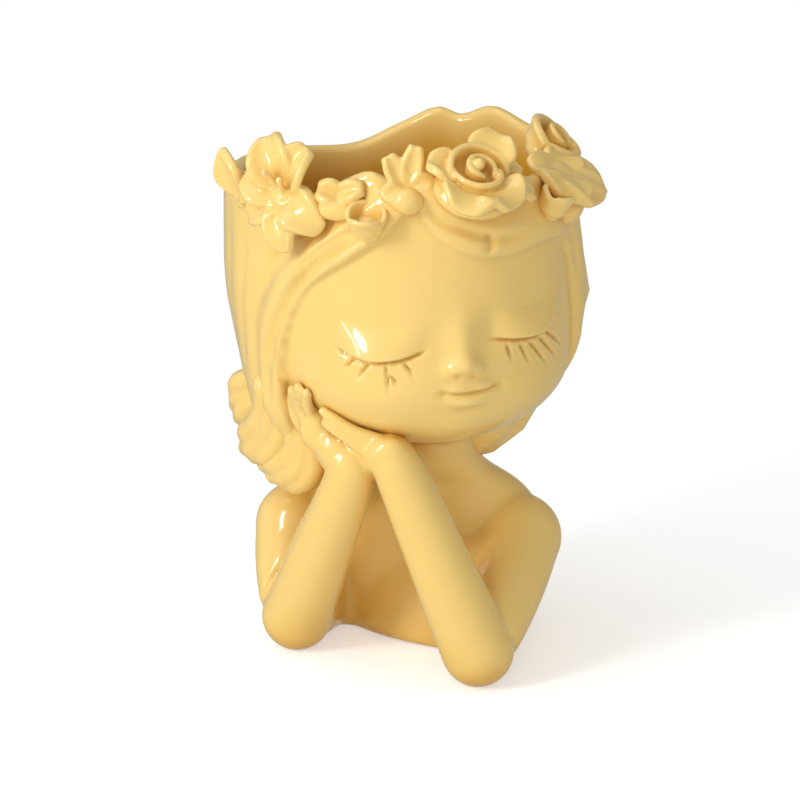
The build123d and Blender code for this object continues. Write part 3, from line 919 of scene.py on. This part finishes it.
def makeArm(arm):
    lines = [[Vector(place) for place in finger] for finger in arm["fingers"]]
    wrist = Vector(arm["wrist"])
    start = Vector((*arm["elbow"], arms["elbowRadius"] - arms["elbowFlat"]))
    knuckles = sum((line[0] for line in lines), Vector()) / len(lines)
    heel = wrist.lerp(knuckles, 0.5)
    halfWidth, halfThick = arms["palm"]
    radii = [arms["elbowRadius"], arms["forearmRadius"], arms["wristRadius"], halfThick]
    places = [start, start.lerp(wrist, arms["forearmAt"]), wrist, heel]
    strands = [addTube(places, radii, resolution=8, sides=28)]
    outward = knuckles - Vector((*faceAxis, head["faceWidest"]))
    along = knuckles - wrist
    share, more = arms["palmReach"]
    strands.append(addBall(heel, (share * along.length + more, halfWidth, halfThick), turnTo(along, outward)))
    fingerRadii = [share * arms["fingerRadius"] for share in arms["fingerTaper"]]
    for line in lines:
        strands.append(addTube(line, fingerRadii, resolution=5, sides=12))
    return joinPieces(strands, "arm")


# the chest runs forward to its foot between the elbows: place on the floor, halves, turn
chestFoot = {"place": (6.0, 9.5, 0.0), "halves": (33.0, 13.0, 46.0), "turn": -22.0, "lowest": 0.3}


def addChestFoot():
    turn = Matrix.Rotation(math.radians(chestFoot["turn"]), 3, "Z")
    foot = addBall(chestFoot["place"], chestFoot["halves"], turn)
    keepAbove(foot, chestFoot["lowest"])
    return foot


def makeBust():
    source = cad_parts["bust_shell"]
    bust = source.copy()
    bust.data = source.data.copy()
    bpy.context.scene.collection.objects.link(bust)
    bust.parent = None
    for key in list(bust.keys()):
        del bust[key]
    bust.data.transform(Matrix.Scale(1 / millimetre, 4) @ Matrix.Translation(-figureMiddle))
    editWhole(bust, bpy.ops.mesh.remove_doubles, threshold=bustSkin["weld"])
    bust = joinPieces([bust, addChestFoot()], "bustSkin")
    meltTogether(bust, bustSkin["voxel"], bustSkin["firstRounds"])
    fillers = [addBall(*arms["betweenHands"]), addBall(*arms["underCheek"])]
    whole = joinPieces([bust, makeArm(arms["right"]), makeArm(arms["left"]), *fillers], "bustAndArms")
    meltTogether(whole, bustSkin["voxel"], bustSkin["lastRounds"])
    keepAbove(whole, 0.0)
    markPooling(whole, bustSkin)
    finishPiece(whole, ["bust_shell", "right_arm", "left_arm"])


makeBust()


# Curls at the nape

curls = {
    # the node, then bearing, level and distance inside the hair's radius along each strand
    "curlBack": ("curl_back", [
        [(-82, -42.0, 14.0), (-87, -45.0, 6.5), (-92, -48.2, 1.5), (-94, -51.8, -0.5)],
        [(-82, -46.0, 15.0), (-87, -49.8, 7.0), (-92, -52.9, 1.8), (-94, -55.8, -0.5)],
        [(-80, -49.0, 15.0), (-85, -53.6, 8.0), (-89, -56.6, 4.0), (-92, -59.5, 1.5)],
    ]),
    "curlSide": ("curl_side", [
        [(-48, -37.0, 6.8), (-52, -45.1, 8.5), (-58, -52.5, 7.9), (-66, -57.6, 6.5), (-72, -59.8, 5.4)],
        [(-45, -38.3, 8.4), (-48, -47.9, 9.8), (-55, -56.2, 9.9), (-64, -62.5, 7.9), (-70, -64.3, 5.6)],
        [(-42, -39.8, 10.4), (-44, -49.2, 12.2), (-50, -57.5, 12.2), (-58, -63.3, 10.4), (-66, -66.2, 8.2)],
    ]),
    "curlFront": ("curl_front", [
        [(-38, -50.0, 13.0), (-40, -57.7, 14.6), (-46, -63.0, 14.4), (-54, -66.6, 13.2), (-62, -68.6, 11.0)],
        [(-34, -53.2, 14.7), (-36, -60.8, 16.1), (-42, -66.4, 16.0), (-50, -69.9, 15.2), (-58, -71.7, 12.9)],
        [(-30, -55.7, 16.5), (-31, -62.8, 17.7), (-37, -68.4, 18.4), (-45, -71.8, 17.8), (-53, -73.2, 16.2)],
    ]),
}
curlRadii = {"body": 5.0, "tip": 3.4}
curlSkin = {"voxel": 0.6, "rounds": 5, "poolScale": 1.1, "poolBlur": 3}


def glazePiece(piece, skin, node):
    meltTogether(piece, skin["voxel"], skin["rounds"])
    markPooling(piece, skin)
    finishPiece(piece, [node])


def hangPoint(bearing, level, inset):
    out = (head["hairRadius"] - inset) * toward(bearing)
    return (head["hairAxis"][0] + out[0], head["hairAxis"][1] + out[1], head["widest"] + level)


for name, (node, strands) in curls.items():
    tubes = []
    for strand in strands:
        radii = [curlRadii["body"]] * (len(strand) - 1) + [curlRadii["tip"]]
        tubes.append(addTube([hangPoint(*place) for place in strand], radii, resolution=6, sides=16))
    glazePiece(joinPieces(tubes, name), curlSkin, node)


# Flowers of the crown

flowerSkin = {"voxel": 0.5, "rounds": 7, "poolScale": 1.0, "poolBlur": 3}


def headPoint(bearing, level):
    way = toward([bearing])
    start = np.array([[*head["hairAxis"], head["widest"] + level]])
    return Vector(reachOut(start, way, eggsDistance)[0])


def flowerPlace(bearing, level, lift, tilt):
    way = Vector(toward(bearing))
    side = Vector(toward(bearing + 90))
    facing = way * math.cos(math.radians(tilt)) + Vector((0, 0, math.sin(math.radians(tilt))))
    up = facing.cross(side)
    turn = Matrix((side, up, facing)).transposed().to_4x4()
    return Matrix.Translation(headPoint(bearing, level) + way * lift) @ turn


def addSheet(shape, columns, rows, thickness):
    # grid shaped by a function of across (-1..1) and along (0..1), then given its clay thickness
    sheet = addThing(bpy.ops.mesh.primitive_grid_add, x_subdivisions=columns, y_subdivisions=rows, size=2.0)
    flat = readPoints(sheet)
    writePoints(sheet, np.stack(shape(flat[:, 0], (flat[:, 1] + 1) / 2), 1))
    addModifier(sheet, "SOLIDIFY", thickness=thickness, offset=0.0)
    addModifier(sheet, "SUBSURF", levels=1, render_levels=1)
    return sheet


petalForm = {
    # its half width is part of a half wave: where that starts, its span and its power, with a leaf's share
    "root": 0.10,
    "span": (0.80, 0.08),
    "power": (0.65, 0.45),
    "belly": 0.85,
}
wrapForm = {"power": 0.4, "least": 0.55, "flarePower": 2.2}


def addPetal(turn, length, width, lean=20.0, cup=0.3, curl=0.3, root=1.5, thick=3.0, point=0.0):
    # petal that leaves the middle at a turn from the top, leans up off the flower's plane and rolls
    # at its tip, which is round where point is 0 and a leaf's where it is 1
    def shape(across, along):
        span, power = (base + leaf * point for base, leaf in (petalForm["span"], petalForm["power"]))
        wave = petalForm["root"] + span * along ** petalForm["belly"]
        half = width * np.sin(np.pi * wave) ** power
        bend = math.radians(lean) - curl * along ** 2
        out = root + length * along * np.cos(bend)
        up = length * along * np.sin(bend) + cup * half * across ** 2
        side = half * across
        at = math.radians(turn)
        return out * math.sin(at) + side * math.cos(at), out * math.cos(at) - side * math.sin(at), up
    return addSheet(shape, 10, 12, thick)


def addWrap(start, arc, inner, outer, foot, height, flare, thick=2.2):
    # petal wrapped round the middle: its radius grows from inner to outer along the arc, and its edge flares
    def shape(across, along):
        share = (across + 1) / 2
        at = np.radians(start + arc * share)
        edge = np.sin(np.pi * np.clip(share, 0.0, 1)) ** wrapForm["power"]
        tall = height * (wrapForm["least"] + (1 - wrapForm["least"]) * edge)
        radius = inner + (outer - inner) * share + flare * along ** wrapForm["flarePower"]
        return radius * np.sin(at), radius * np.cos(at), foot + tall * along
    return addSheet(shape, 22, 8, thick)


def makeOpenFlower():
    return [
        addPetal(-27, 19, 8.0, lean=46, cup=0.6, curl=0.5, thick=3.2),
        addPetal(28, 17, 7.2, lean=46, cup=0.6, curl=0.45, thick=3.2),
        addPetal(-76, 16, 8.0, lean=26, cup=0.35, curl=0.3),
        addPetal(-122, 15, 7.0, lean=10, curl=0.35),
        addPetal(120, 16, 7.5, lean=24, cup=0.4, curl=0.7, thick=4.0),
        addPetal(172, 17, 6.5, lean=6, cup=0.45, curl=0.4),
        addBall((0, 0, 1), (5.5, 5.5, 4)),
        addTube([(0, 0, 2), (-2, 3, 8), (-3, 4, 11)], [1.3, 1.1, 1.3]),
        addTube([(1, 0, 2), (2.5, 1.5, 8), (3, 2.5, 10)], [1.3, 1.1, 1.3]),
    ]


def makeRose():
    return [
        addBall((0, 0, -2), (14, 13, 6)),
        addBall((-0.5, 0.5, 8.5), (2.0, 2.0, 2.4)),
        addWrap(150, 340, 2.8, 5.0, 1, 8.5, 0.3, thick=1.9),
        addWrap(70, 230, 6.2, 7.6, -1, 9.0, 1.0),
        addWrap(-110, 200, 8.0, 9.6, -3, 11.5, 1.6, thick=2.6),
        addPetal(150, 11, 10.0, lean=55, curl=0.75, root=6),
        addPetal(212, 11, 10.0, lean=52, curl=0.75, root=6.5),
        addPetal(40, 12, 8.5, lean=72, curl=0.5, root=8.5, thick=2.8),
        addPetal(-62, 10, 7.0, lean=48, cup=0.4, curl=0.5, root=7.5),
        addPetal(100, 9, 4.0, lean=-18, root=13),
        addPetal(66, 9, 4.0, lean=-8, cup=0.4, root=12),
    ]


def makeBroadBlossom():
    return [
        *(addPetal(*petal, cup=0.15, curl=0.35, thick=3.8)
          for petal in ((178, 15, 10.5, 12), (134, 15, 10.0, 14), (222, 14, 10.0, 14))),
        addPetal(62, 11, 7.5),
        addPetal(298, 11, 7.5),
        addBall((0, 0, -2), (9, 9, 5)),
        addBall((0, -7, -8), (7, 6, 7)),
    ]


def makeCurledBlossom():
    return [
        addBall((0, 0, -2), (10, 8, 5)),
        addWrap(200, 300, 2.6, 5.2, 1, 6.5, 0.6),
        addWrap(60, 220, 6.4, 7.6, -1, 7.0, 1.6, thick=2.8),
        addWrap(-90, 170, 7.6, 8.6, -2, 8.0, 2.4, thick=3.0),
        addPetal(160, 9, 6.0, lean=15, curl=0.4, root=5),
    ]


cupForm = {
    "petals": ((0, 0.9), (120, 1.15), (240, 1.0)),     # turn, and share of the depth
    "arc": 135,
    "flare": 0.3,
    "foot": (1.05, 0.55),
}


def makeCupBud(radius, depth):
    # open cup of three uneven petals on a round foot
    flare = cupForm["flare"] * radius
    petals = [
        addWrap(turn, cupForm["arc"], radius, radius, 0, share * depth, flare, thick=2.0)
        for turn, share in cupForm["petals"]
    ]
    wide, high = cupForm["foot"]
    return petals + [addBall((0, 0, 0), (wide * radius, wide * radius, high * depth))]


def makeLeafBud():
    return [
        addBall((0, -3, 1), (5.5, 4.5, 5)),
        addPetal(-28, 12, 3.6, lean=12, cup=0.5, curl=-0.1, thick=2.4),
        addPetal(12, 14, 3.6, lean=16, cup=0.5, curl=-0.1, thick=2.4),
        addPetal(62, 9, 3.4, cup=0.5, thick=2.4),
        addPetal(-95, 7, 3.4, cup=0.5, thick=2.4),
    ]


def makeOuterLeaf():
    return [
        addPetal(-22, 18, 7.0, lean=42, cup=0.4, curl=0.1, root=-1, thick=3.4, point=1.0),
        addPetal(55, 13, 6.0, lean=14, curl=0.2, root=-1, point=0.6),
        addBall((0, 0, -1), (5, 5, 3.5)),
    ]


def makeRolledLeaf():
    return [
        addBall((0, -4.5, 0), (7.5, 3.8, 4)),
        addPetal(-82, 9, 4.0, lean=18, cup=0.9, curl=0.1, root=-2),
        addPetal(75, 10, 3.6, lean=25, cup=0.7, curl=0.2, root=0),
        addPetal(130, 10, 3.2, lean=15, cup=0.6, curl=0.2, root=0),
    ]


flowers = {
    # the node, how it is made, then bearing, level, lift off the head and tilt up from level
    "openFlower": ("open_flower", makeOpenFlower, (-25, 33, 3.0, 28)),
    "wrappedRose": ("rose", makeRose, (33, 40, 2.5, 56)),
    "broadBlossom": ("broad_blossom", makeBroadBlossom, (70, 37, 1.0, 62)),
    "curledBlossom": ("curled_blossom", makeCurledBlossom, (85, 42, -5.5, 50)),
    "cupBud": ("cup_bud", lambda: makeCupBud(4.9, 7.5), (3, 26, 3.0, 58)),
    "smallCup": ("small_cup", lambda: makeCupBud(4.0, 8.0), (59, 28, 3.0, 58)),
    "leafBud": ("leaf_bud", makeLeafBud, (14, 37.5, 1.0, 25)),
    "outerLeaf": ("outer_leaf", makeOuterLeaf, (-50, 29, 0.5, 20)),
    "rolledLeaf": ("rolled_leaf", makeRolledLeaf, (-7, 35, 1.5, 25)),
}
for name, (node, make, place) in flowers.items():
    flower = joinPieces(make(), name)
    flower.data.transform(flowerPlace(*place))
    glazePiece(flower, flowerSkin, node)
print("crown made")


# The drain stopper keeps its own shape

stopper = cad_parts["drain_stopper"]
stopper.data.materials.clear()
stopper.data.materials.append(rubber)


# Studio

studio = {
    "target": (0.0, 0.0, 88.0),
    "bearing": 12.0,
    "elevation": 16.0,
    "distance": 1100.0,
    "lens": 144.5,
    "sensor": 36.0,
    "nearest": 0.01,
    "floorSize": 8.0,
    "floorTone": (0.90, 0.905, 0.915, 1),
    "floorRoughness": 0.9,
    "floorGlow": 0.44,
    "whiteFrom": (0.10, 0.42),      # metres from the middle over which the floor turns white
    "white": (1, 1, 1, 1),
    "roomTone": (1.0, 0.985, 0.96, 1),
    "roomStrength": 0.42,
    "mirroredTone": (1.0, 0.86, 0.58, 1),      # the warm room that the glaze mirrors
    "mirroredFloor": 0.50,
    "mirroredRoom": (0.40, 0.95),      # away from the window and toward it
    "windowSide": (-0.90, -0.35, 0.25),
    "lampTarget": (0.0, 0.0, 0.09),
    "lamps": {
        # place in metres, size across and up, power, and whether the glaze mirrors it
        "keySoftbox": ((-0.72, -0.82, 0.62), (0.20, 0.60), 5.4, True),
        "lowStrip": ((-0.95, -0.78, 0.24), (0.06, 0.40), 1.0, True),
        "fillSoftbox": ((0.30, -1.30, 0.35), (1.20, 0.50), 4.6, False),
        "topSoftbox": ((-0.30, -0.10, 1.15), (0.70, 0.70), 1.9, True),
    },
}


def frameView(point):
    return Vector(point) * millimetre + figureMiddle


def aimAt(thing, place, target):
    thing.location = place
    thing.rotation_euler = (Vector(target) - Vector(place)).to_track_quat("-Z", "Y").to_euler()


def makeCamera():
    camera = addThing(bpy.ops.object.camera_add)
    turn = math.radians(studio["bearing"])
    rise = math.radians(studio["elevation"])
    back = Vector((math.sin(turn) * math.cos(rise), -math.cos(turn) * math.cos(rise), math.sin(rise)))
    target = Vector(studio["target"])
    aimAt(camera, frameView(target + back * studio["distance"]), frameView(target))
    camera.data.lens = studio["lens"]
    camera.data.sensor_width = studio["sensor"]
    camera.data.clip_start = studio["nearest"]
    bpy.context.scene.camera = camera


def makeLamps():
    for name, (place, size, power, mirrored) in studio["lamps"].items():
        lamp = addThing(bpy.ops.object.light_add, type="AREA")
        lamp.name = name
        lamp.data.shape = "RECTANGLE"
        lamp.data.size, lamp.data.size_y = size
        lamp.data.energy = power
        lamp.visible_glossy = mirrored
        aimAt(lamp, place, studio["lampTarget"])


def paperShare(tree):
    # two shares: 1 where the camera, a mirror or a clear material looks, and 1 where a mirror does
    rays = addNode(tree, "LightPath").outputs
    either = addMath(tree, "MAXIMUM", rays["Is Camera Ray"], rays["Is Glossy Ray"])
    return addMath(tree, "MAXIMUM", either, rays["Is Transmission Ray"]), rays["Is Glossy Ray"]


def addShade(tree, share, first, second):
    return addNode(tree, "MixShader", {"Fac": share, 1: first, 2: second}).outputs["Shader"]


def addGlow(tree, kind, tone, strength=1.0):
    return addNode(tree, kind, {"Color": tone, "Strength": strength}).outputs[kind]


def makeFloor():
    floor = addThing(bpy.ops.mesh.primitive_plane_add, size=studio["floorSize"])
    floor.name = "studioFloor"
    material, tree = newMaterial("floorPaper")
    paper = tree.nodes["Principled BSDF"]
    feed(tree, paper, {
        "Base Color": studio["floorTone"],
        "Roughness": studio["floorRoughness"],
        "Specular IOR Level": 0.0,
    })
    seen, mirrored = paperShare(tree)
    glow = addGlow(tree, "Emission", studio["white"], addMath(tree, "MULTIPLY", seen, studio["floorGlow"]))
    lifted = addNode(tree, "AddShader", {0: paper.outputs["BSDF"], 1: glow}).outputs["Shader"]
    place = addNode(tree, "TexCoord").outputs["Object"]
    far = addNode(tree, "VectorMath", {0: place}, operation="LENGTH").outputs["Value"]
    fade = addRange(tree, far, studio["whiteFrom"], interpolation_type="SMOOTHSTEP")
    white = addGlow(tree, "Emission", studio["white"])
    shown = addShade(tree, addMath(tree, "MULTIPLY", seen, fade), lifted, white)
    dim = addGlow(tree, "Emission", studio["mirroredTone"], studio["mirroredFloor"])
    feed(tree, tree.nodes["Material Output"], {"Surface": addShade(tree, mirrored, shown, dim)})
    floor.data.materials.append(material)


def makeWorld():
    # the glaze mirrors a bright window side and a dim far side
    world = bpy.data.worlds.new("studioRoom")
    bpy.context.scene.world = world
    world.use_nodes = True
    tree = world.node_tree
    room = tree.nodes["Background"]
    feed(tree, room, {"Color": studio["roomTone"], "Strength": studio["roomStrength"]})
    seen, mirrored = paperShare(tree)
    paper = addGlow(tree, "Background", studio["white"])
    shown = addShade(tree, seen, room.outputs["Background"], paper)
    way = addNode(tree, "TexCoord").outputs["Generated"]
    toWindow = addNode(tree, "VectorMath", {0: way, 1: studio["windowSide"]}, operation="DOT_PRODUCT")
    facing = toWindow.outputs["Value"]
    strength = addRange(tree, facing, toSpan=studio["mirroredRoom"], interpolation_type="SMOOTHSTEP")
    walls = addGlow(tree, "Background", studio["mirroredTone"], strength)
    feed(tree, tree.nodes["World Output"], {"Surface": addShade(tree, mirrored, shown, walls)})


makeCamera()
makeLamps()
makeFloor()
makeWorld()
bpy.context.scene.view_settings.view_transform = "Standard"
print("studio made")
